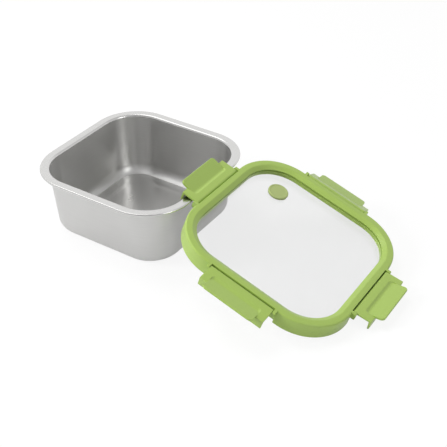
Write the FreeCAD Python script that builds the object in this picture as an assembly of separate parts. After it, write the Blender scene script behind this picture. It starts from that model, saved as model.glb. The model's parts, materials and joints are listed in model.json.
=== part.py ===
"""Square steel lunch box with a clear-windowed, four-latch lid leaning on its rim.

Millimetres, +Z up. The origin is the middle of the tub's foot, on the floor.
+X points to the lid, which has one edge on the floor and one latch hooked on the rim.
"""
import FreeCAD
import Part
import math
import os

Vec = FreeCAD.Vector
ORIGIN = Vec(0, 0, 0)
X_AXIS = Vec(1, 0, 0)
Y_AXIS = Vec(0, 1, 0)
Z_AXIS = Vec(0, 0, 1)

# Tub: deep-drawn sheet
rim_width = 156.0
rim_corner_radius = 43.2
tub_height = 63.6
sheet_thick = 0.8
flange_width = 8.0
flange_bend_radius = 1.6
roll_width = 2.0
roll_height = 2.2
wall_lean_width = 4.8
foot_radius = 10.5
panel_inset = 19.5
panel_slope = 2.0
panel_depth = 0.4

# Lid frame: moulded ring, heights measured down from its top plane
rim_play = 0.5
skirt_wall = 2.3
side_lean_width = 0.6
frame_height = 14.2
lid_corner_radius = 43.9
edge_radius = 1.0
crown_width = 6.2
slope_width = 4.2
slope_depth = 2.4
window_depth = 8.2
window_thick = 3.0
window_ledge = 3.4
window_play = 0.05
groove_wall = 1.2
groove_width = 3.2
groove_roof_depth = 8.5
rim_stop_depth = 13.0
seal_play = 0.1
seal_lip_height = 0.7

# Latches and their hinges
latch_length = 62.2
latch_end_gap = 0.4
hinge_gap = 0.6
hinge_setback_width = 1.1
hinge_depth = 2.6
barrel_radius = 2.2
pin_radius = 1.3
pin_play = 0.05
pin_length = 2.4
lug_thick = 2.5
lug_height = 6.2
lug_wall = 0.8
lug_radius = 1.0
plate_thick = 2.0
plate_length = 15.4
hook_thick = 2.3
hook_tip_thick = 1.5
hook_depth = 7.1
hook_length = 12.4
tab_width = 48.0
tab_root = 6.0
tab_length = 17.2
tab_sink_depth = 0.9
tab_flare_angle = 13.0
tab_thick = 2.0
tab_corner_radius = 3.0

# Vent plug in the window
vent_side_inset = 28.8
vent_back_inset = 24.3
cap_diameter = 19.0
cap_thick = 2.2
cap_edge_radius = 0.8
stem_diameter = 8.0
stem_play = 0.08
stem_below_length = 1.2
nick_diameter = 3.0

# How the lid leans in the photographed pose
rest_gap = 0.3
hook_rest_gap = 0.5
left_open_angle = 90.8
front_open_angle = 85.0
back_open_angle = 61.7

# Sizes that follow from the values above
rim_half = rim_width / 2
tub_centre = rim_half - rim_corner_radius
wall_half = rim_half - flange_width
foot_half = wall_half - wall_lean_width
skirt_half = rim_half + rim_play
frame_foot_half = skirt_half + skirt_wall
frame_top_half = frame_foot_half - side_lean_width
lid_centre = frame_top_half - lid_corner_radius
crown_half = frame_top_half - crown_width
opening_half = crown_half - slope_width
rebate_half = opening_half + window_ledge
groove_half = rebate_half + groove_wall
groove_outer_half = groove_half + groove_width
hinge_edge_half = frame_top_half - hinge_setback_width
hinge_half = hinge_edge_half + hinge_gap + barrel_radius
latch_end = latch_length / 2
lug_start = latch_end + latch_end_gap
notch_end = lug_start + lug_thick
lug_half = hinge_half + pin_radius + pin_play + lug_wall
plate_inner = barrel_radius - plate_thick
hook_inner = plate_length - hook_thick
hook_tip = plate_inner - hook_depth
window_foot = window_depth + window_thick
vent_x = vent_side_inset - opening_half
vent_y = opening_half - vent_back_inset


def rounded_outline(corners):
    """Closed wire in the XZ plane through (x, z, radius) corners, each rounded by its radius."""
    entries = []
    exits = []
    arcs = []
    count = len(corners)
    for index, (x, z, radius) in enumerate(corners):
        here = Vec(x, 0, z)
        before = Vec(corners[index - 1][0], 0, corners[index - 1][1])
        after = Vec(corners[(index + 1) % count][0], 0, corners[(index + 1) % count][1])
        to_before = (before - here).normalize()
        to_after = (after - here).normalize()
        half_angle = to_before.getAngle(to_after) / 2
        cut_back = radius / math.tan(half_angle)
        start = here + to_before * cut_back
        end = here + to_after * cut_back
        if radius > 0:
            inward = (to_before + to_after).normalize()
            middle = here + inward * (radius / math.sin(half_angle) - radius)
            arcs.append(Part.Arc(start, middle, end).toShape())
        entries.append(start)
        exits.append(end)
    runs = []
    for index in range(count):
        target = entries[(index + 1) % count]
        if exits[index].distanceToPoint(target) > 1e-6:
            runs.append(Part.LineSegment(exits[index], target).toShape())
    return Part.Wire(Part.__sortEdges__(runs + arcs))


def carried_round(corners, centre):
    """Solid ring: the (half size, height) outline carried round a square with round corners.

    Straight sides are extrusions, and each corner turns about its own arc's middle.
    """
    face = Part.Face(rounded_outline(corners))
    side = face.translated(Vec(0, -centre, 0)).extrude(Vec(0, 2 * centre, 0))
    corner = face.translated(Vec(0, centre, 0)).revolve(Vec(centre, centre, 0), Z_AXIS, 90)
    pieces = []
    for quarter in range(4):
        for piece in (side, corner):
            turned = piece.copy()
            turned.rotate(ORIGIN, Z_AXIS, 90 * quarter)
            pieces.append(turned)
    return pieces[0].multiFuse(pieces[1:])


def box_between(low, high):
    """Box from its lowest to its highest corner."""
    return Part.makeBox(high[0] - low[0], high[1] - low[1], high[2] - low[2], Vec(*low))


def prism_along_y(corners, start, end):
    """Rounded XZ outline drawn out along Y from start to end."""
    face = Part.Face(rounded_outline(corners)).translated(Vec(0, start, 0))
    return face.extrude(Vec(0, end - start, 0))


def steel_tub():
    """Drawn tub: stamped base, round foot, leaning wall, flat flange and rolled edge."""
    roll_half = rim_half - roll_width
    panel_half = foot_half - panel_inset
    outside = [
        (tub_centre, 0, 0),
        (panel_half, 0, sheet_thick),
        (panel_half + panel_slope, panel_depth, sheet_thick),
        (foot_half, panel_depth, foot_radius),
        (wall_half, tub_height - sheet_thick, flange_bend_radius),
        (roll_half, tub_height - sheet_thick, 0),
        (roll_half, tub_height - roll_height, roll_width * 0.2),
        (rim_half, tub_height - roll_height, roll_width * 0.4),
    ]
    inside = [
        (rim_half, tub_height, roll_width * 0.45),
        (wall_half - sheet_thick, tub_height, flange_bend_radius + sheet_thick),
        (foot_half - sheet_thick, panel_depth + sheet_thick, foot_radius - sheet_thick),
        (panel_half + panel_slope, panel_depth + sheet_thick, sheet_thick),
        (panel_half, sheet_thick, sheet_thick),
        (tub_centre, sheet_thick, 0),
    ]
    wall = carried_round(outside + inside, tub_centre)
    base = box_between((-tub_centre, -tub_centre, 0), (tub_centre, tub_centre, sheet_thick))
    return wall.fuse(base).removeSplitter()


def frame_ring():
    """Plain frame: crown, inner slope, window rebate, seal groove and skirt."""
    return carried_round([
        (frame_foot_half, -frame_height, edge_radius * 0.5),
        (frame_top_half, 0, edge_radius),
        (crown_half, 0, edge_radius * 2),
        (opening_half, -slope_depth, edge_radius * 0.5),
        (opening_half, -window_depth, 0),
        (rebate_half, -window_depth, 0),
        (rebate_half, -window_foot, 0),
        (groove_half, -window_foot, 0),
        (groove_half, -groove_roof_depth, 0),
        (groove_outer_half, -groove_roof_depth, 0),
        (groove_outer_half, -rim_stop_depth, 0),
        (skirt_half, -rim_stop_depth, 0),
        (skirt_half, -frame_height, edge_radius * 0.5),
    ], lid_centre)


def hinge_notch():
    """Room cut out of the +X side of the frame for one latch: above and below the lugs."""
    beyond = lug_half + edge_radius
    below = -frame_height - edge_radius
    upper = box_between((hinge_edge_half, -lug_start, -lug_height), (beyond, lug_start, edge_radius))
    lower = box_between((skirt_half, -notch_end, below), (beyond, notch_end, -lug_height))
    return upper.fuse(lower)


def hinge_lug(start):
    """Lug that carries one end of a latch, from start along +Y, without its hole."""
    return prism_along_y([
        (hinge_edge_half, 0, 0),
        (lug_half, 0, lug_radius),
        (lug_half, -lug_height, lug_radius),
        (hinge_edge_half, -lug_height, 0),
    ], start, start + lug_thick)


def pin_hole(start):
    """Hole in a lug for the latch's stub pin."""
    return Part.makeCylinder(pin_radius + pin_play, lug_thick, Vec(hinge_half, start, -hinge_depth), Y_AXIS)


def lid_frame():
    """Frame with the four notches and the eight hinge lugs."""
    notches = []
    lugs = []
    holes = []
    for quarter in range(4):
        side_pieces = [(notches, hinge_notch())]
        for start in (lug_start, -notch_end):
            side_pieces.append((lugs, hinge_lug(start)))
            side_pieces.append((holes, pin_hole(start)))
        for group, piece in side_pieces:
            piece.rotate(ORIGIN, Z_AXIS, 90 * quarter)
            group.append(piece)
    solid = frame_ring().cut(notches).multiFuse(lugs).cut(holes)
    return solid.removeSplitter()


def lid_window():
    """Clear panel in the frame's rebate, with the vent hole."""
    half = rebate_half - window_play
    outline = [
        (lid_centre, -window_depth, 0),
        (half, -window_depth, 0),
        (half, -window_foot, 0),
        (lid_centre, -window_foot, 0),
    ]
    middle = box_between((-lid_centre, -lid_centre, -window_foot), (lid_centre, lid_centre, -window_depth))
    panel = carried_round(outline, lid_centre).fuse(middle).removeSplitter()
    hole = Part.makeCylinder(stem_diameter / 2 + stem_play, window_thick, Vec(vent_x, vent_y, -window_foot))
    return panel.cut(hole)


def lid_seal():
    """Seal ring in the groove, with a rounded lip that the rim presses on."""
    inner = groove_half + seal_play
    outer = groove_outer_half - seal_play
    return carried_round([
        (inner, -groove_roof_depth, 0),
        (outer, -groove_roof_depth, 0),
        (outer, -rim_stop_depth, 0),
        (outer, -rim_stop_depth - seal_lip_height, seal_lip_height),
        (inner, -rim_stop_depth - seal_lip_height, seal_lip_height),
        (inner, -rim_stop_depth, 0),
    ], lid_centre)


def vent_plug():
    """Round plug: cap with a finger nick under its edge, and a stem through the window."""
    radius = cap_diameter / 2
    stem = stem_diameter / 2
    face = Part.Face(rounded_outline([
        (0, cap_thick, 0),
        (radius, cap_thick, cap_edge_radius),
        (radius, 0, 0),
        (stem, 0, 0),
        (stem, -window_thick - stem_below_length, stem_below_length * 0.8),
        (0, -window_thick - stem_below_length, 0),
    ]))
    plug = face.revolve(ORIGIN, Z_AXIS, 360)
    nick_radius = nick_diameter / 2
    nick = Part.makeCylinder(nick_radius, nick_diameter, Vec(radius - nick_radius, 0, 0), X_AXIS)
    plug = plug.cut(nick)
    return plug.translated(Vec(vent_x, vent_y, -window_depth))


def tab_outline(bottom, top):
    """Round-cornered tab in its own plane, from its root along -Z, between two outward levels."""
    half = tab_width / 2
    ends = [(-half, 0), (half, 0), (half, -tab_length), (-half, -tab_length)]
    blank = prism_along_y([(x, z, tab_corner_radius) for x, z in ends], -top, -bottom)
    blank.rotate(ORIGIN, Z_AXIS, 90)
    blank.rotate(ORIGIN, Y_AXIS, -tab_flare_angle)
    return blank.translated(Vec(barrel_radius - tab_sink_depth, 0, -tab_root))


def latch():
    """Latch hanging shut: hinge axis on Y, outward +X, hooks turned in at its foot."""
    edge = plate_thick * 0.2
    plate = prism_along_y([
        (barrel_radius, 0, 0),
        (barrel_radius, -plate_length, edge),
        (plate_inner, -plate_length, edge),
        (plate_inner, 0, 0),
    ], -latch_end, latch_end)
    hook_section = [
        (barrel_radius, -hook_inner + hook_thick * 0.5, 0),
        (barrel_radius, -plate_length, edge),
        (hook_tip, -plate_length, hook_tip_thick * 0.4),
        (hook_tip, -plate_length + hook_tip_thick, hook_tip_thick * 0.3),
        (plate_inner, -hook_inner, edge),
        (plate_inner, -hook_inner + hook_thick * 0.5, 0),
    ]
    barrel = Part.makeCylinder(barrel_radius, latch_length, Vec(0, -latch_end, 0), Y_AXIS)
    pin_span = latch_length + 2 * pin_length
    pins = Part.makeCylinder(pin_radius, pin_span, Vec(0, -pin_span / 2, 0), Y_AXIS)
    below_plate = box_between((hook_tip, -latch_end, -plate_length), (plate_inner, latch_end, 0))
    tab = tab_outline(-tab_thick, 0).cut(below_plate)
    body = plate.cut(tab_outline(0, plate_length))
    body = body.multiFuse([
        barrel,
        pins,
        tab,
        prism_along_y(hook_section, latch_end - hook_length, latch_end),
        prism_along_y(hook_section, -latch_end, -latch_end + hook_length),
    ])
    return body.removeSplitter()


def left_slope(tilt):
    """Rise of the left latch's plate above level, in radians, for a lid tilt in radians."""
    return tilt + math.radians(left_open_angle - 90)


def left_hinge(tilt):
    """Height and distance of the left hinge axis, with the latch resting on the rim.

    The plate's underside lies rest_gap above the rolled edge, and the hook
    stands hook_rest_gap inside the bend between flange and wall.
    """
    slope = left_slope(tilt)
    along = (-math.cos(slope), math.sin(slope))
    across = (math.sin(slope), math.cos(slope))
    roll_radius = roll_width * 0.45
    bend_radius = flange_bend_radius + sheet_thick
    roll = (rim_half - roll_radius, tub_height - roll_radius)
    bend = (wall_half - sheet_thick + bend_radius, tub_height - bend_radius)
    across_roll = plate_inner - rest_gap - roll_radius
    along_bend = hook_inner - hook_rest_gap - bend_radius
    roll_term = roll[0] * across[0] + roll[1] * across[1] - across_roll
    bend_term = bend[0] * along[0] + bend[1] * along[1] - along_bend
    x = across[0] * roll_term + along[0] * bend_term
    z = across[1] * roll_term + along[1] * bend_term
    return x, z


def floor_height(tilt):
    """Height of the frame's low edge above the floor for a given tilt."""
    z = left_hinge(tilt)[1]
    reach = hinge_half + frame_foot_half
    return z - reach * math.sin(tilt) - (frame_height - hinge_depth) * math.cos(tilt)


def resting_tilt():
    """Tilt at which the frame's low edge just meets the floor, found by halving."""
    low = 0.0
    high = math.radians(60)
    for _ in range(60):
        middle = (low + high) / 2
        if floor_height(middle) > 0:
            low = middle
        else:
            high = middle
    return low


lid_tilt = resting_tilt()
left_x, left_z = left_hinge(lid_tilt)
lid_x = left_x + hinge_half * math.cos(lid_tilt) + hinge_depth * math.sin(lid_tilt)
lid_z = left_z - hinge_half * math.sin(lid_tilt) + hinge_depth * math.cos(lid_tilt)
right_axis_z = lid_z - hinge_half * math.sin(lid_tilt) - hinge_depth * math.cos(lid_tilt)
tip_distance = math.hypot(plate_length, hook_tip)
tip_angle = math.atan2(-hook_tip, plate_length)
right_droop = math.asin((right_axis_z - rest_gap) / tip_distance) - tip_angle
right_open_angle = 90 + math.degrees(lid_tilt - right_droop)


def leaned(shape):
    """Carry a shape from the lid's own frame to where the lid leans."""
    placed = shape.copy()
    placed.rotate(ORIGIN, Y_AXIS, math.degrees(lid_tilt))
    return placed.translated(Vec(lid_x, 0, lid_z))


def placed_latch(quarter, opening):
    """Latch on one side of the lid, swung open by an angle in degrees."""
    piece = latch()
    piece.rotate(ORIGIN, Y_AXIS, -opening)
    piece = piece.translated(Vec(hinge_half, 0, -hinge_depth))
    piece.rotate(ORIGIN, Z_AXIS, 90 * quarter)
    return leaned(piece)


parts = {
    "steel_tub": steel_tub(),
    "lid_frame": leaned(lid_frame()),
    "lid_window": leaned(lid_window()),
    "lid_seal": leaned(lid_seal()),
    "vent_plug": leaned(vent_plug()),
    "latch_right": placed_latch(0, right_open_angle),
    "latch_back": placed_latch(1, back_open_angle),
    "latch_left": placed_latch(2, left_open_angle),
    "latch_front": placed_latch(3, front_open_angle),
}

os.makedirs("parts", exist_ok=True)
for node, shape in parts.items():
    shape.exportStep("parts/" + node + ".step")
    print(node, "valid", shape.isValid(), "solids", len(shape.Solids), "volume", round(shape.Volume, 1))
print("lid at", round(lid_x, 3), round(lid_z, 3), "tilt", round(math.degrees(lid_tilt), 3))
print("right latch open", round(right_open_angle, 2))
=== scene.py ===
"""Square steel lunch box with a clear-windowed lid that leans on its rim.

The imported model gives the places. Sizes below are in millimetres, +Z up,
and are turned into metres when a piece's mesh is made.
"""
import json
import math

import bpy
import numpy as np
from mathutils import Matrix


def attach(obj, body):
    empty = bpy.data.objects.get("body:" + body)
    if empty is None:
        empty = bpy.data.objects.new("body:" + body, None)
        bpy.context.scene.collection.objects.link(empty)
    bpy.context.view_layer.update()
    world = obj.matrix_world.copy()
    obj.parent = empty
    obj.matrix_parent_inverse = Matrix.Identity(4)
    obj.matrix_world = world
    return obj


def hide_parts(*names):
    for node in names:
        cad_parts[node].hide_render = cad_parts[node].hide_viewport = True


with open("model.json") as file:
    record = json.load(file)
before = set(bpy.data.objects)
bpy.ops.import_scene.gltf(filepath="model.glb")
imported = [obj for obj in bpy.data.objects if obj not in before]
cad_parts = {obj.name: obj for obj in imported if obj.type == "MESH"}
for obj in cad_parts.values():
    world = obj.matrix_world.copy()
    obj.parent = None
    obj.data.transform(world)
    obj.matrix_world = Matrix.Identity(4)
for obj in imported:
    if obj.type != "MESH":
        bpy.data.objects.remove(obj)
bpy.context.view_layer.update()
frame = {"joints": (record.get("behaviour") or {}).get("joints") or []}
joints = {joint["name"]: joint for joint in frame["joints"]}
METRE = 0.001
QUARTER_TURN = math.pi / 2

# Fineness: points on an outline's rounded corner, and steps round a square's corner
ARC_POINTS = 7
TUB_ARC_POINTS = 12
SEAL_ARC_POINTS = 6
TUB_CORNER_STEPS = 32
LID_CORNER_STEPS = 28
CELLS_PER_MM = 1e4
CRISP_ANGLE = math.radians(38)
LEAST_LENGTH = 1e-12
LEAST_HALF_ANGLE = 1e-3
LEAST_TURN = 1e-4
LEAST_ROUND = 0.03

# Tub
RIM_HALF = 78.0
TUB_CENTRE = 34.8
TUB_HEIGHT = 63.6
SHEET = 0.8
WALL_HALF = 70.0
FOOT_HALF = 65.2
FOOT_RADIUS = 10.5
BEND_RADIUS = 1.6
ROLL_WIDTH = 2.0
ROLL_HEIGHT = 2.2
ROLL_SEAT_ROUND = 0.1
ROLL_LIP_ROUND = 0.4
ROLL_FOOT_ROUND = 0.95
ROLL_TOP_ROUND = 1.2
PANEL_HALF = 44.2
PANEL_SLOPE = 5.0
PANEL_BEND = 20.0
PANEL_DEPTH = 0.4
BRUSHED_FOOT = 1.5

# Lid frame, window and seal, heights measured from the frame's top
LID_CENTRE = 36.3
FRAME_TOP_HALF = 80.2
FRAME_FOOT_HALF = 80.8
FRAME_HEIGHT = 14.2
FRAME_TOP_ROUND = 1.5
FRAME_FOOT_ROUND = 0.5
CROWN_HALF = 74.0
CROWN_ROUND = 2.0
OPENING_HALF = 69.8
OPENING_ROUND = 0.4
SLOPE_DEPTH = 2.4
SEAM_TOP = 3.0
SEAM_FOOT = 4.5
SEAM_DEEP = 1.2
SEAM_ROUND = 0.1
MOULD_ROUND = 0.15
WINDOW_DEPTH = 8.2
WINDOW_FOOT = 11.2
WINDOW_PLAY = 0.05
WINDOW_MARKS = np.linspace(-30, 30, 9)
REBATE_HALF = 73.2
GROOVE_HALF = 74.4
GROOVE_OUTER_HALF = 77.6
GROOVE_ROOF = 8.5
SKIRT_HALF = 78.5
SKIRT_ROUND = 0.4
RIM_STOP = 13.0
SEAL_LIP = 13.7
SEAL_PLAY = 0.1
SEAL_TOP_ROUND = 0.1
SEAL_LIP_ROUND = 0.7
HINGE_EDGE_HALF = 79.1
HINGE_EDGE_ROUND = 0.4
LUG_HALF = 84.05
LUG_HEIGHT = 6.2
LUG_ROUND = 1.0
LUG_START = 31.5
NOTCH_END = 34.0
LEDGE_HALF = 81.6
LEDGE_DEPTH = 5.2
LEDGE_ROUND = 0.2

# Latches, measured from the hinge axis: along the plate, outwards, and along the hinge
HINGE_DEPTH = 2.6
OPEN_LIMIT = 120.0
BARREL_RADIUS = 2.2
PIN_RADIUS = 1.3
PIN_END = 33.5
PIN_ROOT = 0.5
PIN_CHAMFER = 0.3
PIN_SIDES = 24
LATCH_END = 31.1
END_ROUND = 0.4
END_POINTS = 4
HOOK_START = 18.7
PLATE_INNER = 0.2
PLATE_INNER_ROUND = 0.15
PLATE_LENGTH = 15.4
PLATE_EDGE_ROUND = 0.4
HOOK_INNER = 13.1
HOOK_INNER_ROUND = 0.4
HOOK_TIP = -6.9
HOOK_TIP_THICK = 1.5
HOOK_TIP_INNER_ROUND = 0.45
HOOK_TIP_ROUND = 0.6
HOOK_SPARE = 1.0
TAB_HALF = 24.0
TAB_ROOT = 5.8
TAB_ROOT_ROUND = 2.5
TAB_ROOT_TIGHTER = 0.3
DIP_ALONG = 7.8
DIP_DEPTH = 1.2
DIP_ROUND = 4.0
DIP_TIGHTER = 0.65
DIP_FOLLOWS = 0.75
TAB_LENGTH = 15.42
TAB_THICK = 2.0
TAB_CORNER = 3.0
TAB_CORNER_POINTS = 8
TAB_UNDER_ROUND = 0.25
TAB_END_UNDER_ROUND = 0.6
TAB_END_ROUND = 0.7
TAB_SPARE = 0.2
TAB_FLARE = math.radians(15.7)

# Vent plug, on the window
VENT_X = -41.0
VENT_Y = 45.5
CAP_RADIUS = 9.5
CAP_THICK = 2.2
CAP_FOOT_ROUND = 0.25
CAP_TOP_ROUND = 0.9
CAP_STEPS = 90
DISH_EDGE = CAP_RADIUS * 0.82
DISH_FLOOR = CAP_RADIUS * 0.78
DISH_DEPTH = 0.25
DISH_ROUND = 0.5
STEM_RADIUS = 4.0
STEM_PLAY = 0.08
STEM_LENGTH = 4.2
STEM_TIP_ROUND = 0.96
STEM_ROOT_ROUND = 0.2
NICK_RADIUS = 1.5
NICK_ANGLE = 0.22
NICK_STEPS = 25
NICK_START = 5.0

# Finishes
WINDOW_TONE = (0.86, 0.865, 0.865, 1)
WINDOW_BRIGHT = (0.90, 0.90, 0.90, 1)
WINDOW_IOR = 1.46
WINDOW_ROUGHEST = 0.03
SKIN_BUMP = 0.25
LINES_BUMP = 0.1
LINES_DEPTH = 0.00001
LINES_SCALE = (0.05, 0.05, 2.5)
NOISE_LOW = 0.3
NOISE_HIGH = 0.7
WHITE = (1, 1, 1, 1)
COLOUR_SOCKET = "NodeSocketColor"
NUMBER_SOCKET = "NodeSocketFloat"

# Studio, in metres
FLOOR_HALF = 6.0
FLOOR_LEVEL = -0.0003
FLOOR_TONE = (0.85, 0.85, 0.85, 1)
FLOOR_GLOW = 1.03
FLOOR_OWN_SHARE = 0.86
FLOOR_OWN_SHARE_IN_METAL = 0.45
WORLD_LIGHT = 0.35
OVERHEAD = {"way": (0.322, -0.460, 0.828), "turn": (-0.05, 0.55), "tone": (1.1, 0.72)}
AT_CAMERA = {"way": (0.4446, -0.6823, 0.5803), "turn": (0.60, 0.95), "tone": (1.0, 0.75)}
LAMP_TARGET = (0.08, 0.0, 0.03)
CAMERA_PLACE = (0.46056, -0.56818, 0.50840)
CAMERA_ROUND = math.radians(33.086)
CAMERA_DOWN = math.radians(35.470)
CAMERA_LENS = 74.45
CAMERA_SENSOR = 36.0
CAMERA_NEAR = 0.01

# The lid's own axes in the row frame, from the hinges and the vent's way out
lid_up = np.array(joints["vent_lift"]["axis"])
lid_along = np.array([lid_up[2], 0.0, -lid_up[0]])
lid_across = np.array([0.0, 1.0, 0.0])
hinge_left, hinge_right = [
    np.array(joints[name]["pos_m"]) for name in ("latch_left_hinge", "latch_right_hinge")]
lid_origin = (hinge_left + hinge_right) / 2 + lid_up * HINGE_DEPTH * METRE
latch_ways = {"left": -lid_along, "front": -lid_across, "right": lid_along, "back": lid_across}


def unit(vectors):
    """Each vector divided by its own length; a zero vector stays zero."""
    length = np.linalg.norm(vectors, axis=-1, keepdims=True)
    return vectors / np.where(length > LEAST_LENGTH, length, 1.0)


def rounded(corners, steps):
    """Closed outlines through (across, height, radius) corners, each given as points on its arc.

    The arc touches both sides at radius / tan(half the corner's angle) from the corner,
    and its points turn evenly from one touching point to the other.
    """
    here = corners[..., :2]
    radius = corners[..., 2:]
    back = unit(np.roll(here, 1, axis=-2) - here)
    ahead = unit(np.roll(here, -1, axis=-2) - here)
    half = np.arccos(np.clip((back * ahead).sum(axis=-1, keepdims=True), -1.0, 1.0)) / 2
    half = np.clip(half, LEAST_HALF_ANGLE, QUARTER_TURN)
    centre = here + unit(back + ahead) * radius / np.sin(half)
    start = here + back * radius / np.tan(half) - centre
    end = here + ahead * radius / np.tan(half) - centre
    share = np.linspace(0.0, 1.0, steps)[:, None]
    turn = (math.pi - 2 * half)[..., None, :]
    straight = turn < LEAST_TURN
    whole = np.sin(np.where(straight, 1.0, turn))
    first = np.where(straight, 1.0 - share, np.sin((1.0 - share) * turn) / whole)
    last = np.where(straight, share, np.sin(share * turn) / whole)
    arcs = centre[..., None, :] + start[..., None, :] * first + end[..., None, :] * last
    return arcs.reshape(*corners.shape[:-2], -1, 2)


def drawn_in(corners, amounts):
    """Outlines of (across, height, radius) corners moved inwards, each by its own amount.

    A corner moves by amount * (n1 + n2) / (1 + n1 . n2), with n1 and n2 the inward normals
    of its two sides. Outlines run clockwise or anticlockwise: the sign of their area says
    which side is inwards.
    """
    here = corners[..., :2]
    ahead = np.roll(here, -1, axis=-2)
    area = (here[..., 0] * ahead[..., 1] - here[..., 1] * ahead[..., 0]).sum(axis=-1)
    edge = unit(ahead - here)
    after = np.stack([-edge[..., 1], edge[..., 0]], axis=-1) * np.sign(area)[..., None, None]
    before = np.roll(after, 1, axis=-2)
    shift = (before + after) / (1 + (before * after).sum(axis=-1, keepdims=True))
    amount = amounts[..., None, None]
    radius = corners[..., 2:]
    radius = np.maximum(radius - amount, np.minimum(radius, LEAST_ROUND))
    return np.concatenate([here + shift * amount, radius], axis=-1)


def square_path(centre, side_marks, corner_steps):
    """Stations round a square with round corners: middles and outward directions.

    On a side the middle slides along the inner square, from -centre to centre by way of the
    marks; in a corner it stays and the direction turns.
    """
    marks = np.concatenate([[-centre], side_marks, [centre]])
    turn = np.linspace(0.0, QUARTER_TURN, corner_steps + 1)[1:-1]
    slide = np.concatenate([marks, np.full(turn.size, centre)])
    middle = np.tile(np.stack([np.full(slide.size, centre), slide], axis=1), (4, 1))
    quarter = np.repeat(np.arange(4) * math.pi / 2, slide.size)
    spun = np.stack([
        middle[:, 0] * np.cos(quarter) - middle[:, 1] * np.sin(quarter),
        middle[:, 0] * np.sin(quarter) + middle[:, 1] * np.cos(quarter),
    ], axis=1)
    angle = np.tile(np.concatenate([np.zeros(marks.size), turn]), 4) + quarter
    return spun, np.stack([np.cos(angle), np.sin(angle)], axis=1)


def carried(outlines, middle, outward, centre):
    """Points of (half size, height) outlines carried along a path.

    A point's flat place is middle + outward * (half size - centre).
    """
    reach = (outlines[..., 0] - centre)[..., None]
    flat = middle[:, None, :] + outward[:, None, :] * reach
    height = np.broadcast_to(outlines[..., 1], flat.shape[:2])
    return np.concatenate([flat, height[..., None]], axis=-1)


def grid_quads(rows, columns, closed_rows, closed_columns):
    """Corner numbers of a grid's quads; a closed direction joins its last line to its first."""
    index = np.arange(rows * columns).reshape(rows, columns)
    if closed_rows:
        index = np.concatenate([index, index[:1]], axis=0)
    if closed_columns:
        index = np.concatenate([index, index[:, :1]], axis=1)
    corners = [index[:-1, :-1], index[1:, :-1], index[1:, 1:], index[:-1, 1:]]
    return np.stack(corners, axis=-1).reshape(-1, 4)


def shell(points, quads, caps=()):
    """Closed shell: joins points that coincide, drops empty quads and turns the faces outwards.

    A quad with one shared corner becomes a triangle. Faces point outwards when the volumes
    between the shell's triangles and its middle add up to more than zero. Columns after the
    third ride along.
    """
    points = points.reshape(-1, points.shape[-1])
    cells = np.round(points[:, :3] * CELLS_PER_MM).astype(np.int64)
    first, number = np.unique(cells, axis=0, return_index=True, return_inverse=True)[1:]
    number = number.reshape(-1)
    points = points[first]
    quads = number[quads]
    same = quads == np.roll(quads, -1, axis=1)
    shared = same.sum(axis=1)
    bent = quads[shared == 1]
    keep = ~same[shared == 1]
    faces = [row for row in (quads[shared == 0], bent[keep].reshape(-1, 3)) if len(row)]
    for cap in caps:
        ring = number[np.asarray(cap)]
        faces.append(ring[ring != np.roll(ring, 1)][None, :])
    place = points[:, :3] - points[:, :3].mean(axis=0)
    volume = 0.0
    for group in faces:
        fan = place[group]
        cross = np.cross(fan[:, 1:-1], fan[:, 2:])
        volume += np.einsum("ik,ijk->", fan[:, 0], cross)
    if volume < 0:
        faces = [group[:, ::-1] for group in faces]
    return points, faces


def ring_shell(points):
    """Shell of a grid that closes in both directions."""
    return shell(points, grid_quads(*points.shape[:2], True, True))


def bar_shell(points):
    """Shell of outlines drawn out from the first row to the last, with a flat cap at each end."""
    rows, columns = points.shape[:2]
    numbers = np.arange(rows * columns).reshape(rows, columns)
    quads = grid_quads(rows, columns, False, True)
    return shell(points, quads, caps=(numbers[0], numbers[-1, ::-1]))


def joined(shells):
    """Several shells as one: points one after the other and face numbers moved up to match."""
    points = []
    faces = []
    count = 0
    for shell_points, shell_faces in shells:
        points.append(shell_points)
        faces.extend(group + count for group in shell_faces)
        count += len(shell_points)
    return np.concatenate(points), faces


def on_lid(points):
    """Lid coordinates in millimetres, (along, across, up), to the row frame in metres."""
    return lid_origin + (points @ np.stack([lid_along, lid_across, lid_up])) * METRE


def add_piece(name, points, faces, material, body, node):
    """Mesh in metres that rides a body in place of a CAD node; its sharp edges stay crisp."""
    mesh = bpy.data.meshes.new(name)
    mesh.from_pydata(points.tolist(), [], [face for group in faces for face in group.tolist()])
    mesh.shade_smooth()
    mesh.set_sharp_from_angle(angle=CRISP_ANGLE)
    piece = bpy.data.objects.new(name, mesh)
    bpy.context.scene.collection.objects.link(piece)
    mesh.materials.append(material)
    even = piece.modifiers.new("even shading", "WEIGHTED_NORMAL")
    even.keep_sharp = True
    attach(piece, body)
    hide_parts(node)
    return piece


def add_lid_piece(name, surface, material, body, node):
    """Piece from a surface in the lid's own axes."""
    points, faces = surface
    return add_piece(name, on_lid(points), faces, material, body, node)


def point_attribute(piece, name, values):
    """Stores a vector on each point for a material's pattern."""
    layer = piece.data.attributes.new(name, "FLOAT_VECTOR", "POINT")
    layer.data.foreach_set("vector", np.ascontiguousarray(values, dtype=np.float32).reshape(-1))


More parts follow.
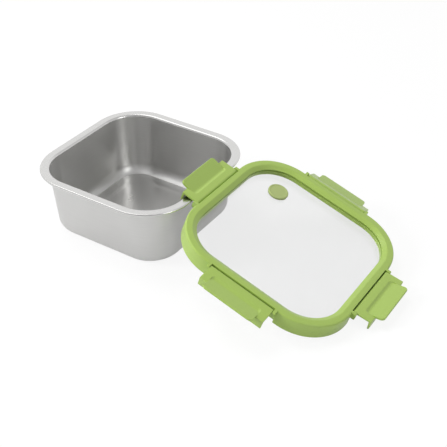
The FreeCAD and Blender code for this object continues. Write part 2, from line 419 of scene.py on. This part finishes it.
def tub_surface():
    """Drawn tub: one closed sheet outline carried round the square, its base closed by two squares.

    Also gives each point's pattern place: its flat place, and its length along the outline.
    """
    roll = RIM_HALF - ROLL_WIDTH
    slope = PANEL_HALF + PANEL_SLOPE
    corners = np.array([
        (TUB_CENTRE, 0, 0),
        (PANEL_HALF, 0, PANEL_BEND),
        (slope, PANEL_DEPTH, PANEL_BEND),
        (FOOT_HALF, PANEL_DEPTH, FOOT_RADIUS),
        (WALL_HALF, TUB_HEIGHT - SHEET, BEND_RADIUS),
        (roll, TUB_HEIGHT - SHEET, ROLL_SEAT_ROUND),
        (roll, TUB_HEIGHT - ROLL_HEIGHT, ROLL_LIP_ROUND),
        (RIM_HALF, TUB_HEIGHT - ROLL_HEIGHT, ROLL_FOOT_ROUND),
        (RIM_HALF, TUB_HEIGHT, ROLL_TOP_ROUND),
        (WALL_HALF - SHEET, TUB_HEIGHT, BEND_RADIUS + SHEET),
        (FOOT_HALF - SHEET, PANEL_DEPTH + SHEET, FOOT_RADIUS - SHEET),
        (slope, PANEL_DEPTH + SHEET, PANEL_BEND),
        (PANEL_HALF, SHEET, PANEL_BEND),
        (TUB_CENTRE, SHEET, 0),
    ])
    outline = rounded(corners, TUB_ARC_POINTS)
    middle, outward = square_path(TUB_CENTRE, np.array([]), TUB_CORNER_STEPS)
    points = carried(outline[None], middle, outward, TUB_CENTRE)
    rows, columns = points.shape[:2]
    quads = grid_quads(rows, columns, True, False)
    numbers = np.arange(rows * columns).reshape(rows, columns)
    steps = np.linalg.norm(np.diff(outline, axis=0), axis=1)
    length = np.broadcast_to(np.concatenate([[0.0], np.cumsum(steps)]), (rows, columns))
    drawn = np.concatenate([points, points[..., :2], length[..., None]], axis=-1)
    return shell(drawn, quads, caps=(numbers[::-1, 0], numbers[:, -1]))


def on_wall(heights):
    """True for faces from the foot's curve up to the flange's bend, from their points' heights."""
    return (heights.min(axis=1) > BRUSHED_FOOT) & (heights.max(axis=1) < TUB_HEIGHT - BEND_RADIUS)


def frame_surface():
    """Lid frame: an outline with crown, slope, rebate, groove and skirt carried round the square.

    Along each side the outer part of the outline changes: plain, then a lug, then the notch of
    a latch. The outline jumps where two stations share a place, which makes the flat walls of
    lugs and notches. All three outlines have as many corners, some of them on a straight side.
    """
    marks = np.repeat(np.array([-NOTCH_END, -LUG_START, LUG_START, NOTCH_END]), 2)
    middle, outward = square_path(LID_CENTRE, marks, LID_CORNER_STEPS)
    side = np.repeat(np.array(["plain", "lug", "notch", "lug", "plain"]), 2)
    corner = np.repeat("plain", len(middle) // 4 - side.size)
    zone = np.tile(np.concatenate([side, corner]), 4)
    lean = (FRAME_FOOT_HALF - FRAME_TOP_HALF) / FRAME_HEIGHT
    knee = FRAME_TOP_HALF + lean * LUG_HEIGHT
    inner = [
        (CROWN_HALF, 0, CROWN_ROUND),
        (OPENING_HALF, -SLOPE_DEPTH, OPENING_ROUND),
        (OPENING_HALF, -SEAM_TOP, SEAM_ROUND),
        (OPENING_HALF + SEAM_DEEP, -SEAM_TOP, 0),
        (OPENING_HALF + SEAM_DEEP, -SEAM_FOOT, 0),
        (OPENING_HALF, -SEAM_FOOT, MOULD_ROUND),
        (OPENING_HALF, -WINDOW_DEPTH, 0),
        (REBATE_HALF, -WINDOW_DEPTH, 0),
        (REBATE_HALF, -WINDOW_FOOT, MOULD_ROUND),
        (GROOVE_HALF, -WINDOW_FOOT, MOULD_ROUND),
        (GROOVE_HALF, -GROOVE_ROOF, 0),
        (GROOVE_OUTER_HALF, -GROOVE_ROOF, 0),
        (GROOVE_OUTER_HALF, -RIM_STOP, MOULD_ROUND),
        (SKIRT_HALF, -RIM_STOP, 0),
    ]
    under_lug = [
        (SKIRT_HALF, -RIM_STOP, 0),
        (SKIRT_HALF, -RIM_STOP + 1, 0),
        (SKIRT_HALF, -LUG_HEIGHT, 0),
        (knee, -LUG_HEIGHT, 0),
    ]
    outer_wall = [(knee - lean * rise, -LUG_HEIGHT + rise, 0) for rise in (-2, 0, 1, 3, 4)]
    outer = {
        "plain": [
            (SKIRT_HALF, -FRAME_HEIGHT, SKIRT_ROUND),
            (FRAME_FOOT_HALF, -FRAME_HEIGHT, FRAME_FOOT_ROUND),
            *outer_wall,
            (FRAME_TOP_HALF, 0, FRAME_TOP_ROUND),
        ],
        "lug": [
            *under_lug,
            (LEDGE_HALF, -LUG_HEIGHT, 0),
            (LUG_HALF, -LUG_HEIGHT, LUG_ROUND),
            (LUG_HALF, -LUG_HEIGHT + 3, 0),
            (LUG_HALF, 0, LUG_ROUND),
        ],
        "notch": [
            *under_lug,
            (LEDGE_HALF, -LUG_HEIGHT, LEDGE_ROUND),
            (LEDGE_HALF, -LEDGE_DEPTH, LEDGE_ROUND),
            (HINGE_EDGE_HALF, -LEDGE_DEPTH, LEDGE_ROUND),
            (HINGE_EDGE_HALF, 0, HINGE_EDGE_ROUND),
        ],
    }
    outlines = np.stack([
        rounded(np.array(inner + outer[name], dtype=float), ARC_POINTS)
        for name in ("plain", "lug", "notch")])
    choice = (zone == "lug") * 1 + (zone == "notch") * 2
    return ring_shell(carried(outlines[choice], middle, outward, LID_CENTRE))


def window_surface():
    """Clear panel: rays from the vent hole to the panel's edge, walked over top, rim and underside.

    A point is hole + (edge - hole) * share of the way, at a share of the panel's thickness.
    """
    middle, outward = square_path(LID_CENTRE, WINDOW_MARKS, LID_CORNER_STEPS)
    edge = middle + outward * (REBATE_HALF - WINDOW_PLAY - LID_CENTRE)
    vent = np.array([VENT_X, VENT_Y])
    hole = vent + unit(edge - vent) * (STEM_RADIUS + STEM_PLAY)
    share, depth = np.array([
        (0.0, 0.1), (0.01, 0.0), (0.3, 0.0), (0.7, 0.0), (0.998, 0.0), (1.0, 0.1),
        (1.0, 0.9), (0.998, 1.0), (0.7, 1.0), (0.3, 1.0), (0.01, 1.0), (0.0, 0.9),
    ]).T
    flat = hole[:, None, :] + (edge - hole)[:, None, :] * share[None, :, None]
    height = np.broadcast_to(
        -WINDOW_DEPTH - depth * (WINDOW_FOOT - WINDOW_DEPTH), flat.shape[:2])
    return ring_shell(np.concatenate([flat, height[..., None]], axis=-1))


def seal_surface():
    """Seal ring: a block with a rounded lip, carried round the lid's groove."""
    inner = GROOVE_HALF + SEAL_PLAY
    outer = GROOVE_OUTER_HALF - SEAL_PLAY
    corners = np.array([
        (inner, -GROOVE_ROOF, SEAL_TOP_ROUND),
        (inner, -SEAL_LIP, SEAL_LIP_ROUND),
        (outer, -SEAL_LIP, SEAL_LIP_ROUND),
        (outer, -GROOVE_ROOF, SEAL_TOP_ROUND),
    ])
    middle, outward = square_path(LID_CENTRE, np.array([]), LID_CORNER_STEPS)
    return ring_shell(carried(rounded(corners, SEAL_ARC_POINTS)[None], middle, outward, LID_CENTRE))


def vent_surface():
    """Plug turned about its axis, with a scoop under the cap's edge on the lid's low side.

    The cap's underside rises by sqrt(nick radius^2 - sideways distance^2) within the scoop.
    """
    half_outline = rounded(np.array([
        (0.0, CAP_THICK, 0.0),
        (0.0, -STEM_LENGTH, 0.0),
        (STEM_RADIUS, -STEM_LENGTH, STEM_TIP_ROUND),
        (STEM_RADIUS, 0.0, STEM_ROOT_ROUND),
        (CAP_RADIUS, 0.0, CAP_FOOT_ROUND),
        (CAP_RADIUS, CAP_THICK, CAP_TOP_ROUND),
        (DISH_EDGE, CAP_THICK, DISH_ROUND),
        (DISH_FLOOR, CAP_THICK - DISH_DEPTH, DISH_ROUND),
    ]), ARC_POINTS)
    fine = np.linspace(-NICK_ANGLE, NICK_ANGLE, NICK_STEPS)
    rest = np.linspace(NICK_ANGLE, 2 * math.pi - NICK_ANGLE, CAP_STEPS)[1:-1]
    angle = np.concatenate([fine, rest])[:, None]
    radius = half_outline[None, :, 0]
    height = np.broadcast_to(half_outline[None, :, 1], (angle.size, radius.size))
    sideways = radius * np.sin(angle)
    scoop = np.sqrt(np.clip(NICK_RADIUS ** 2 - sideways ** 2, 0.0, None))
    low_side = np.cos(angle) > 0.5
    on_cap = (radius > NICK_START) & (height > -0.1)
    height = np.where(low_side & on_cap, np.maximum(height, scoop), height)
    along = VENT_X + radius * np.cos(angle)
    return ring_shell(np.stack([along, VENT_Y + sideways, height - WINDOW_DEPTH], axis=-1))


def latch_shape():
    """Latch in its own axes (along the plate, outwards, along the hinge): an outline drawn out.

    The outline has three forms: plate with hook at both ends, plate with hook and tab, plate
    with tab. The tab dips softly from its root and then rises: DIP_ALONG + s * cos(flare) along
    and BARREL_RADIUS - DIP_DEPTH + s * sin(flare) outwards. Its corners are quarter circles: the
    root and the end move by TAB_CORNER * (1 - cos a) while the place along the hinge moves by
    TAB_CORNER * sin a. A form that lacks a corner has it as a spare one on a straight side.
    """
    arc = np.linspace(0.0, QUARTER_TURN, TAB_CORNER_POINTS)
    bend = np.linspace(0.0, QUARTER_TURN, END_POINTS)
    corner_place = TAB_HALF - TAB_CORNER + TAB_CORNER * np.sin(arc)
    end_place = LATCH_END - END_ROUND * (1 - np.sin(bend))
    place = np.concatenate([[0.0, HOOK_START, HOOK_START], corner_place, [TAB_HALF], end_place])
    no_tab = np.zeros(1 + bend.size)
    inset = np.concatenate([np.zeros(3), TAB_CORNER * (1 - np.cos(arc)), no_tab])
    ease = np.concatenate([np.zeros(place.size - bend.size), END_ROUND * (1 - np.cos(bend))])
    hook = np.concatenate([np.zeros(2), np.ones(place.size - 2)])
    tab = np.concatenate([np.ones(place.size - no_tab.size), no_tab])
    place = np.concatenate([-place[:0:-1], place[1:]])
    inset, ease, hook, tab = [
        np.concatenate([row[:0:-1], row[1:]]) for row in (inset, ease, hook, tab)]
    cos_flare = math.cos(TAB_FLARE)
    sin_flare = math.sin(TAB_FLARE)
    sunk = BARREL_RADIUS - DIP_DEPTH
    dip_along = DIP_ALONG + DIP_FOLLOWS * inset * cos_flare
    dip_out = sunk + DIP_FOLLOWS * inset * sin_flare
    dip_round = DIP_ROUND - DIP_TIGHTER * inset
    root_round = TAB_ROOT_ROUND - TAB_ROOT_TIGHTER * inset
    end_along = DIP_ALONG + (TAB_LENGTH - inset) * cos_flare
    end_out = sunk + (TAB_LENGTH - inset) * sin_flare
    end_under = (end_along + TAB_THICK * sin_flare, end_out - TAB_THICK * cos_flare)
    meet = (PLATE_LENGTH - DIP_ALONG - TAB_THICK * sin_flare) / cos_flare
    under = sunk + meet * sin_flare - TAB_THICK * cos_flare
    level = DIP_ALONG + DIP_DEPTH / math.tan(TAB_FLARE)

    def corner(values):
        """One corner of the outline along the whole hinge."""
        return np.stack(np.broadcast_arrays(*values, place)[:3], axis=-1)

    def either(form, with_form, without_form):
        """One corner with one value where the form is, and another where it isn't."""
        return np.where(form[:, None] > 0, corner(with_form), corner(without_form))

    corners = [
        corner((-BARREL_RADIUS, BARREL_RADIUS, BARREL_RADIUS)),
        corner((-BARREL_RADIUS, -BARREL_RADIUS, BARREL_RADIUS)),
        corner((BARREL_RADIUS, -BARREL_RADIUS, BARREL_RADIUS)),
        corner((BARREL_RADIUS, PLATE_INNER, PLATE_INNER_ROUND)),
        either(hook, (HOOK_INNER, PLATE_INNER, HOOK_INNER_ROUND), (HOOK_INNER, PLATE_INNER, 0.0)),
        either(hook, (PLATE_LENGTH - HOOK_TIP_THICK, HOOK_TIP, HOOK_TIP_INNER_ROUND),
               (HOOK_INNER + HOOK_SPARE, PLATE_INNER, 0.0)),
        either(hook, (PLATE_LENGTH, HOOK_TIP, HOOK_TIP_ROUND),
               (PLATE_LENGTH, PLATE_INNER, PLATE_EDGE_ROUND)),
        either(tab, (PLATE_LENGTH, under, TAB_UNDER_ROUND), (PLATE_LENGTH, under, 0.0)),
        either(tab, (*end_under, TAB_END_UNDER_ROUND), (PLATE_LENGTH, under + TAB_SPARE, 0.0)),
        either(tab, (end_along, end_out, TAB_END_ROUND),
               (PLATE_LENGTH, BARREL_RADIUS, PLATE_EDGE_ROUND)),
        corner((level, BARREL_RADIUS, 0.0)),
        either(tab, (dip_along, dip_out, dip_round), (DIP_ALONG, BARREL_RADIUS, 0.0)),
        either(tab, (TAB_ROOT + inset, BARREL_RADIUS, root_round), (TAB_ROOT, BARREL_RADIUS, 0.0)),
    ]
    outline = rounded(drawn_in(np.stack(corners, axis=1), ease), ARC_POINTS)
    along_hinge = np.broadcast_to(place[:, None, None], outline.shape[:2] + (1,))
    body = bar_shell(np.concatenate([outline, along_hinge], axis=-1))
    turn = np.linspace(0.0, 2 * math.pi, PIN_SIDES + 1)[:-1]
    radius = np.array([PIN_RADIUS, PIN_RADIUS, PIN_RADIUS - PIN_CHAMFER])[:, None]
    reach = np.array([LATCH_END - PIN_ROOT, PIN_END - PIN_CHAMFER, PIN_END])[:, None]
    pins = [
        bar_shell(np.stack(np.broadcast_arrays(
            radius * np.cos(turn), radius * np.sin(turn), reach * side), axis=-1))
        for side in (-1, 1)]
    return joined([body] + pins)


def placed_latch(points, side):
    """Latch swung open and set on its hinge.

    With u along the plate and v outwards, out = v cos(open) + u sin(open) and
    up = v sin(open) - u cos(open).
    """
    joint = joints["latch_" + side + "_hinge"]
    opening = math.radians(OPEN_LIMIT - joint["range_deg"][1])
    outward = latch_ways[side]
    along_hinge = np.cross(lid_up, outward)
    reach = points[:, 0]
    lift = points[:, 1]
    out = lift * math.cos(opening) + reach * math.sin(opening)
    rise = lift * math.sin(opening) - reach * math.cos(opening)
    local = np.stack([out, -points[:, 2], rise], axis=1)
    axes = np.stack([outward, along_hinge, lid_up])
    return np.array(joint["pos_m"]) + (local @ axes) * METRE


def add_node(tree, kind, settings=None, values=None):
    """Node of a kind, with its settings and the values of its own sockets."""
    node = tree.nodes.new(kind)
    for name, value in (settings or {}).items():
        setattr(node, name, value)
    for socket, value in (values or {}).items():
        node.inputs[socket].default_value = value
    return node


def link_nodes(tree, rows):
    """A link for each row of (node, output, node, input)."""
    for source, output, target, socket in rows:
        tree.links.new(source.outputs[output], target.inputs[socket])


def finish_group(name, inputs):
    """Node group with named inputs that gives a finish: its colour, roughness and height."""
    group = bpy.data.node_groups.new(name, "ShaderNodeTree")
    for socket, kind, value in inputs:
        made = group.interface.new_socket(socket, in_out="INPUT", socket_type=kind)
        made.default_value = value
    outputs = (("Color", COLOUR_SOCKET), ("Roughness", NUMBER_SOCKET), ("Height", NUMBER_SOCKET))
    for socket, kind in outputs:
        group.interface.new_socket(socket, in_out="OUTPUT", socket_type=kind)
    return group, add_node(group, "NodeGroupInput"), add_node(group, "NodeGroupOutput")


def moulded_skin_group():
    """Skin of a moulded piece: slow drift of two tones, fine grain for roughness and height."""
    group, given, result = finish_group("moulded skin", [
        ("Tone", COLOUR_SOCKET, WHITE),
        ("Deep Tone", COLOUR_SOCKET, WHITE),
        ("Grain Scale", NUMBER_SOCKET, 2000.0),
        ("Smoothest", NUMBER_SOCKET, 0.3),
        ("Roughest", NUMBER_SOCKET, 0.5),
    ])
    place = add_node(group, "ShaderNodeTexCoord")
    drift = add_node(group, "ShaderNodeTexNoise", values={"Scale": 22.0, "Detail": 3.0})
    grain = add_node(group, "ShaderNodeTexNoise", values={"Detail": 2.0})
    blend = add_node(group, "ShaderNodeMix", {"data_type": "RGBA"})
    spread = add_node(group, "ShaderNodeMapRange",
                      values={"From Min": NOISE_LOW, "From Max": NOISE_HIGH})
    link_nodes(group, [
        (place, "Object", drift, "Vector"),
        (place, "Object", grain, "Vector"),
        (given, "Grain Scale", grain, "Scale"),
        (drift, "Fac", blend, "Factor"),
        (given, "Tone", blend, "A"),
        (given, "Deep Tone", blend, "B"),
        (grain, "Fac", spread, "Value"),
        (given, "Smoothest", spread, "To Min"),
        (given, "Roughest", spread, "To Max"),
        (blend, "Result", result, "Color"),
        (spread, "Result", result, "Roughness"),
        (grain, "Fac", result, "Height"),
    ])
    return group


def sheet_lines_group():
    """Finish of drawn sheet: fine lines in tone and height, soft clouds in roughness.

    The lines are noise drawn out by 50 to 1 round the tub, and close together up its outline.
    """
    group, given, result = finish_group("sheet lines", [
        ("Tone", COLOUR_SOCKET, WHITE),
        ("Bright Tone", COLOUR_SOCKET, WHITE),
        ("Smoothest", NUMBER_SOCKET, 0.3),
        ("Roughest", NUMBER_SOCKET, 0.4),
    ])
    drawn = add_node(group, "ShaderNodeAttribute", {"attribute_name": "drawn"})
    stretch = add_node(group, "ShaderNodeMapping", values={"Scale": LINES_SCALE})
    lines = add_node(group, "ShaderNodeTexNoise", values={"Scale": 1.0, "Detail": 3.0})
    place = add_node(group, "ShaderNodeTexCoord")
    cloud = add_node(group, "ShaderNodeTexNoise", values={"Scale": 30.0, "Detail": 2.0})
    blend = add_node(group, "ShaderNodeMix", {"data_type": "RGBA"})
    spread = add_node(group, "ShaderNodeMapRange",
                      values={"From Min": NOISE_LOW, "From Max": NOISE_HIGH})
    link_nodes(group, [
        (drawn, "Vector", stretch, "Vector"),
        (stretch, "Vector", lines, "Vector"),
        (place, "Object", cloud, "Vector"),
        (lines, "Fac", blend, "Factor"),
        (given, "Tone", blend, "A"),
        (given, "Bright Tone", blend, "B"),
        (cloud, "Fac", spread, "Value"),
        (given, "Smoothest", spread, "To Min"),
        (given, "Roughest", spread, "To Max"),
        (blend, "Result", result, "Color"),
        (spread, "Result", result, "Roughness"),
        (lines, "Fac", result, "Height"),
    ])
    return group


def new_material(name):
    """Material with its node tree and its Principled shader."""
    material = bpy.data.materials.new(name)
    material.use_nodes = True
    return material, material.node_tree, material.node_tree.nodes["Principled BSDF"]


def finished_material(name, finish, values, bump_strength, bump_depth):
    """Material whose colour, roughness and bump come from a finish group; also its shader."""
    material, tree, shader = new_material(name)
    group = add_node(tree, "ShaderNodeGroup", {"node_tree": finish}, values)
    bump = add_node(tree, "ShaderNodeBump",
                    values={"Strength": bump_strength, "Distance": bump_depth})
    link_nodes(tree, [
        (group, "Color", shader, "Base Color"),
        (group, "Roughness", shader, "Roughness"),
        (group, "Height", bump, "Height"),
        (bump, "Normal", shader, "Normal"),
    ])
    return material, shader


def moulded_material(name, skin, tone, deep, grain_scale, smoothest, roughest, grain_depth):
    """Plastic or rubber with the moulded skin's tones, grain and bump."""
    values = {"Tone": (*tone, 1), "Deep Tone": (*deep, 1), "Grain Scale": grain_scale,
              "Smoothest": smoothest, "Roughest": roughest}
    return finished_material(name, skin, values, SKIN_BUMP, grain_depth)[0]


def steel_material(name, lines, tone, bright, smoothest, roughest, pull=0.0, pull_turn=0.0):
    """Steel with the sheet's lines and clouds; pull draws its highlights out, turned by a share."""
    values = {"Tone": (*tone, 1), "Bright Tone": (*bright, 1),
              "Smoothest": smoothest, "Roughest": roughest}
    material, shader = finished_material(name, lines, values, LINES_BUMP, LINES_DEPTH)
    shader.inputs["Metallic"].default_value = 1.0
    shader.inputs["Anisotropic"].default_value = pull
    shader.inputs["Anisotropic Rotation"].default_value = pull_turn
    return material


def window_material():
    """Clear plastic, a little grey, with faint cloudiness in its polish."""
    material, tree, shader = new_material("clear window")
    shader.inputs["Transmission Weight"].default_value = 1.0
    shader.inputs["IOR"].default_value = WINDOW_IOR
    place = add_node(tree, "ShaderNodeTexCoord")
    cloud = add_node(tree, "ShaderNodeTexNoise", values={"Scale": 14.0, "Detail": 2.0})
    tone = add_node(tree, "ShaderNodeMix", {"data_type": "RGBA"},
                    {"A": WINDOW_TONE, "B": WINDOW_BRIGHT})
    rough = add_node(tree, "ShaderNodeMapRange",
                     values={"To Min": 0.0, "To Max": WINDOW_ROUGHEST})
    link_nodes(tree, [
        (place, "Object", cloud, "Vector"),
        (cloud, "Fac", tone, "Factor"),
        (tone, "Result", shader, "Base Color"),
        (cloud, "Fac", rough, "Value"),
        (rough, "Result", shader, "Roughness"),
    ])
    return material


def seen_directly(tree):
    """Two masks: rays that see the surroundings (camera, mirror, see-through), and mirror rays.

    A ray that has met a matt surface on its way only brightens the object and is left out of
    the first mask.
    """
    path = add_node(tree, "ShaderNodeLightPath")
    camera_or_gloss = add_node(tree, "ShaderNodeMath", {"operation": "MAXIMUM"})
    any_view = add_node(tree, "ShaderNodeMath", {"operation": "MAXIMUM"})
    untouched = add_node(tree, "ShaderNodeMath", {"operation": "LESS_THAN"}, {1: 0.5})
    seen = add_node(tree, "ShaderNodeMath", {"operation": "MULTIPLY"})
    mirror = add_node(tree, "ShaderNodeMath", {"operation": "SUBTRACT", "use_clamp": True})
    link_nodes(tree, [
        (path, "Is Camera Ray", camera_or_gloss, 0),
        (path, "Is Glossy Ray", camera_or_gloss, 1),
        (camera_or_gloss, "Value", any_view, 0),
        (path, "Is Transmission Ray", any_view, 1),
        (path, "Diffuse Depth", untouched, 0),
        (any_view, "Value", seen, 0),
        (untouched, "Value", seen, 1),
        (path, "Is Glossy Ray", mirror, 0),
        (path, "Is Transmission Ray", mirror, 1),
    ])
    return seen, mirror


def make_floor():
    """White floor: mostly its own white to the eye, so that only a pale shadow shows."""
    mesh = bpy.data.meshes.new("floor")
    around = ((-1, -1), (1, -1), (1, 1), (-1, 1))
    corners = [(x * FLOOR_HALF, y * FLOOR_HALF, FLOOR_LEVEL) for x, y in around]
    mesh.from_pydata(corners, [], [(0, 1, 2, 3)])
    floor = bpy.data.objects.new("floor", mesh)
    bpy.context.scene.collection.objects.link(floor)
    material = bpy.data.materials.new("white floor")
    material.use_nodes = True
    tree = material.node_tree
    tree.nodes.clear()
    output = add_node(tree, "ShaderNodeOutputMaterial")
    matte = add_node(tree, "ShaderNodeBsdfDiffuse", values={"Color": FLOOR_TONE})
    white = add_node(tree, "ShaderNodeEmission", values={"Strength": FLOOR_GLOW})
    direct, mirror = seen_directly(tree)
    own_share = add_node(tree, "ShaderNodeMix",
                         values={"A": FLOOR_OWN_SHARE, "B": FLOOR_OWN_SHARE_IN_METAL})
    share = add_node(tree, "ShaderNodeMath", {"operation": "MULTIPLY"})
    mix = add_node(tree, "ShaderNodeMixShader")
    link_nodes(tree, [
        (mirror, "Value", own_share, "Factor"),
        (own_share, "Result", share, 0),
        (direct, "Value", share, 1),
        (share, "Value", mix, "Fac"),
        (matte, "BSDF", mix, 1),
        (white, "Emission", mix, 2),
        (mix, "Shader", output, "Surface"),
    ])
    mesh.materials.append(material)


def turned_tone(tree, place, way, turn, tone):
    """Tone that eases from one value to another as a ray turns towards a way.

    The turn is the dot product of the ray and the way, eased between two limits.
    """
    towards = add_node(tree, "ShaderNodeVectorMath", {"operation": "DOT_PRODUCT"}, {1: way})
    eased = add_node(tree, "ShaderNodeMapRange", {"interpolation_type": "SMOOTHSTEP"}, {
        "From Min": turn[0], "From Max": turn[1], "To Min": tone[0], "To Max": tone[1]})
    link_nodes(tree, [(place, "Generated", towards, 0), (towards, "Value", eased, "Value")])
    return eased


def make_world():
    """White surroundings, dimmer where they only light the object.

    In metal they show white low down and behind, and grey overhead and around the camera.
    """
    world = bpy.data.worlds.new("studio")
    bpy.context.scene.world = world
    world.use_nodes = True
    tree = world.node_tree
    back = tree.nodes["Background"]
    back.inputs["Color"].default_value = WHITE
    direct, mirror = seen_directly(tree)
    place = add_node(tree, "ShaderNodeTexCoord")
    shade = turned_tone(tree, place, **OVERHEAD)
    gloom = turned_tone(tree, place, **AT_CAMERA)
    dimmed = add_node(tree, "ShaderNodeMath", {"operation": "MULTIPLY"})
    seen = add_node(tree, "ShaderNodeMix", values={"A": 1.0})
    strength = add_node(tree, "ShaderNodeMix", values={"A": WORLD_LIGHT})
    link_nodes(tree, [
        (shade, "Result", dimmed, 0),
        (gloom, "Result", dimmed, 1),
        (mirror, "Value", seen, "Factor"),
        (dimmed, "Value", seen, "B"),
        (direct, "Value", strength, "Factor"),
        (seen, "Result", strength, "B"),
        (strength, "Result", back, "Strength"),
    ])


def aimed(position, target):
    """Matrix that looks from position to target with +Z kept up."""
    look = unit(np.asarray(target, dtype=float) - np.asarray(position, dtype=float))
    right = unit(np.cross(look, (0.0, 0.0, 1.0)))
    up = np.cross(right, look)
    matrix = np.eye(4)
    matrix[:3, 0] = right
    matrix[:3, 1] = up
    matrix[:3, 2] = -look
    matrix[:3, 3] = position
    return Matrix(matrix.tolist())


def add_lamp(name, position, size, power, in_mirrors):
    """Soft square lamp. One kept out of mirrors only lights the matt surfaces."""
    lamp = bpy.data.lights.new(name, "AREA")
    lamp.shape = "SQUARE"
    lamp.size = size
    lamp.energy = power
    lamp_object = bpy.data.objects.new(name, lamp)
    lamp_object.matrix_world = aimed(position, LAMP_TARGET)
    lamp_object.visible_glossy = in_mirrors
    bpy.context.scene.collection.objects.link(lamp_object)


def make_camera():
    """Camera at the photograph's angle: round from the front by one angle, down by another."""
    data = bpy.data.cameras.new("camera")
    data.sensor_width = CAMERA_SENSOR
    data.lens = CAMERA_LENS
    data.clip_start = CAMERA_NEAR
    camera = bpy.data.objects.new("camera", data)
    place = np.array(CAMERA_PLACE)
    level = math.cos(CAMERA_DOWN)
    look = np.array([
        -math.sin(CAMERA_ROUND) * level, math.cos(CAMERA_ROUND) * level, -math.sin(CAMERA_DOWN)])
    camera.matrix_world = aimed(place, place + look)
    bpy.context.scene.collection.objects.link(camera)
    bpy.context.scene.camera = camera


skin = moulded_skin_group()
lines = sheet_lines_group()
satin = steel_material(
    "satin steel", lines, tone=(0.60, 0.597, 0.587), bright=(0.66, 0.657, 0.647),
    smoothest=0.20, roughest=0.28)
brushed = steel_material(
    "brushed steel", lines, tone=(0.61, 0.607, 0.597), bright=(0.67, 0.667, 0.657),
    smoothest=0.36, roughest=0.42, pull=0.75, pull_turn=0.25)
green = moulded_material(
    "green plastic", skin, tone=(0.385, 0.540, 0.117), deep=(0.360, 0.512, 0.104),
    grain_scale=2600.0, smoothest=0.26, roughest=0.31, grain_depth=0.000006)
rubber = moulded_material(
    "vent rubber", skin, tone=(0.43, 0.51, 0.20), deep=(0.40, 0.48, 0.18),
    grain_scale=1800.0, smoothest=0.55, roughest=0.65, grain_depth=0.00001)
pale = moulded_material(
    "seal rubber", skin, tone=(0.66, 0.68, 0.62), deep=(0.60, 0.62, 0.56),
    grain_scale=1800.0, smoothest=0.5, roughest=0.6, grain_depth=0.00001)
clear = window_material()

tub_points, tub_faces = tub_surface()
tub = add_piece("tub_sheet", tub_points[:, :3] * METRE, tub_faces, satin, "tub", "steel_tub")
point_attribute(tub, "drawn", tub_points[:, 3:])
tub.data.materials.append(brushed)
wall_faces = np.concatenate([on_wall(tub_points[group, 2]) for group in tub_faces])
tub.data.polygons.foreach_set("material_index", wall_faces.astype(np.int32))

ring = add_lid_piece("lid_ring", frame_surface(), green, "lid", "lid_frame")
pane = add_lid_piece("lid_pane", window_surface(), clear, "lid", "lid_window")
gasket = add_lid_piece("lid_gasket", seal_surface(), pale, "lid", "lid_seal")
cap = add_lid_piece("vent_cap", vent_surface(), rubber, "vent_plug", "vent_plug")
latch_points, latch_faces = latch_shape()
for side in latch_ways:
    body = "latch_" + side
    flap = add_piece(
        "flap_" + side, placed_latch(latch_points, side), latch_faces, green, body, body)

make_floor()
make_world()
add_lamp("left lamp", (-0.924, -0.832, 0.839), size=0.45, power=14.0, in_mirrors=False)
add_lamp("top lamp", (-0.505, 0.089, 1.41), size=0.55, power=5.5, in_mirrors=False)
add_lamp("side lamp", (1.18, -0.208, 0.903), size=0.4, power=3.0, in_mirrors=True)
add_lamp("back lamp", (-0.696, 0.085, 1.438), size=1.0, power=5.0, in_mirrors=True)
make_camera()
bpy.context.scene.view_settings.view_transform = "Standard"
